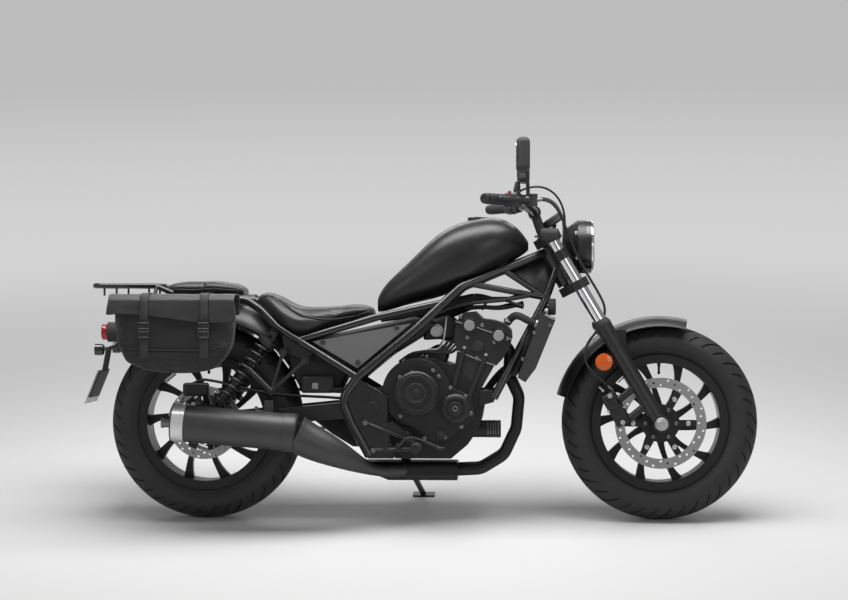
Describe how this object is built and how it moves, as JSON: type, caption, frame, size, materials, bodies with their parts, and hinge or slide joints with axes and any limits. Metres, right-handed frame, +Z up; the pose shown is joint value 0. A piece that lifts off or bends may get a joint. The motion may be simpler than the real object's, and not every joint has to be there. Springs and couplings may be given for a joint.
{
  "type": "motorcycle",
  "caption": "Cruiser motorcycle with an open engine, cast wheels, luggage carrier and soft saddlebags, leaning on its side stand.",
  "frame": {"origin": "on the ground, under the middle of the bike's bounding box", "axes": "+X points to the front of the bike, +Y to its left and +Z up; the bike leans 10 degrees to its left"},
  "size_m": [2.2052, 0.8624, 1.2786],
  "materials": {
    "black_paint": "gloss black enamel",
    "satin_black": "satin black powder coat",
    "tank_black": "matte black paint",
    "seat_vinyl": "matte black vinyl",
    "bag_canvas": "black woven fabric with vinyl edges",
    "black_plastic": "moulded, matte",
    "grey_plastic": "moulded, satin grey",
    "rubber": "matte",
    "tyre": "matte",
    "steel": "machined",
    "chrome": "polished",
    "alloy": "cast, satin",
    "black_alloy": "black coated cast alloy",
    "red_lens": "translucent red",
    "smoke_lens": "smoked",
    "orange_lens": "orange reflex",
    "lamp_glass": "clear",
    "blank_plate": "blank sheet"
  },
  "bodies": {
    "chassis": {"frame": "black_paint", "rear_subframe": "black_paint", "swingarm": "satin_black", "shock_bodies": "satin_black", "shock_springs": "black_paint", "fuel_tank": "tank_black", "rider_seat": "seat_vinyl", "pillion_seat": "seat_vinyl", "rear_fender": "satin_black", "luggage_carrier": "satin_black", "tail_unit": "black_plastic", "tail_lens": "red_lens", "number_plate": "blank_plate", "rear_indicators": "smoke_lens", "saddlebag_right": "bag_canvas", "saddlebag_left": "bag_canvas", "crankcase": "black_alloy", "cylinder_head": "black_alloy", "cylinder_block": "black_alloy", "cam_caps": "alloy", "clutch_cover": "black_alloy", "left_covers": "black_alloy", "radiator": "black_alloy", "throttle_bodies": "alloy", "electrics_cover": "black_plastic", "side_covers": "grey_plastic", "exhaust_pipes": "satin_black", "muffler": "satin_black", "muffler_end": "chrome", "rear_axle": "steel", "rear_caliper": "black_alloy", "drive_chain": "steel", "foot_pegs": "satin_black", "horn": "satin_black"},
    "side_stand": {"side_stand": "satin_black"},
    "rear_wheel": {"rear_tyre": "tyre", "rear_rim": "satin_black", "rear_disc": "steel", "rear_sprocket": "steel"},
    "steering": {"top_clamp": "black_alloy", "lower_clamp": "black_alloy", "fork_tubes": "chrome", "fork_sliders": "satin_black", "front_fender": "black_paint", "front_axle": "steel", "front_caliper": "black_alloy", "handlebar": "satin_black", "grips": "rubber", "controls": "black_plastic", "mirrors": "satin_black", "headlight": "black_paint", "headlight_ring": "satin_black", "headlight_lens": "lamp_glass", "meter": "black_plastic", "front_indicators": "smoke_lens", "reflectors": "orange_lens", "cables": "rubber"},
    "front_wheel": {"front_tyre": "tyre", "front_rim": "satin_black", "front_disc": "steel"}
  },
  "joints": [
    {"name": "steering_head", "type": "hinge", "parent": "chassis", "child": "steering", "pos_m": [0.44805, -0.02575, 0.82293], "axis": [-0.4695, 0.1533, 0.8695], "range_deg": [-38, 38]},
    {"name": "front_wheel_spin", "type": "hinge", "parent": "steering", "child": "front_wheel", "pos_m": [0.78236, -0.11507, 0.31632], "axis": [0, 0.9848, -0.1736], "continuous": true},
    {"name": "rear_wheel_spin", "type": "hinge", "parent": "chassis", "child": "rear_wheel", "pos_m": [-0.70764, -0.11525, 0.31529], "axis": [0, 0.9848, -0.1736], "continuous": true},
    {"name": "stand_fold", "type": "hinge", "parent": "chassis", "child": "side_stand", "pos_m": [-0.05864, -0.01319, 0.15701], "axis": [0.1499, 0.7185, 0.6791], "range_deg": [0, 100]}
  ]
}
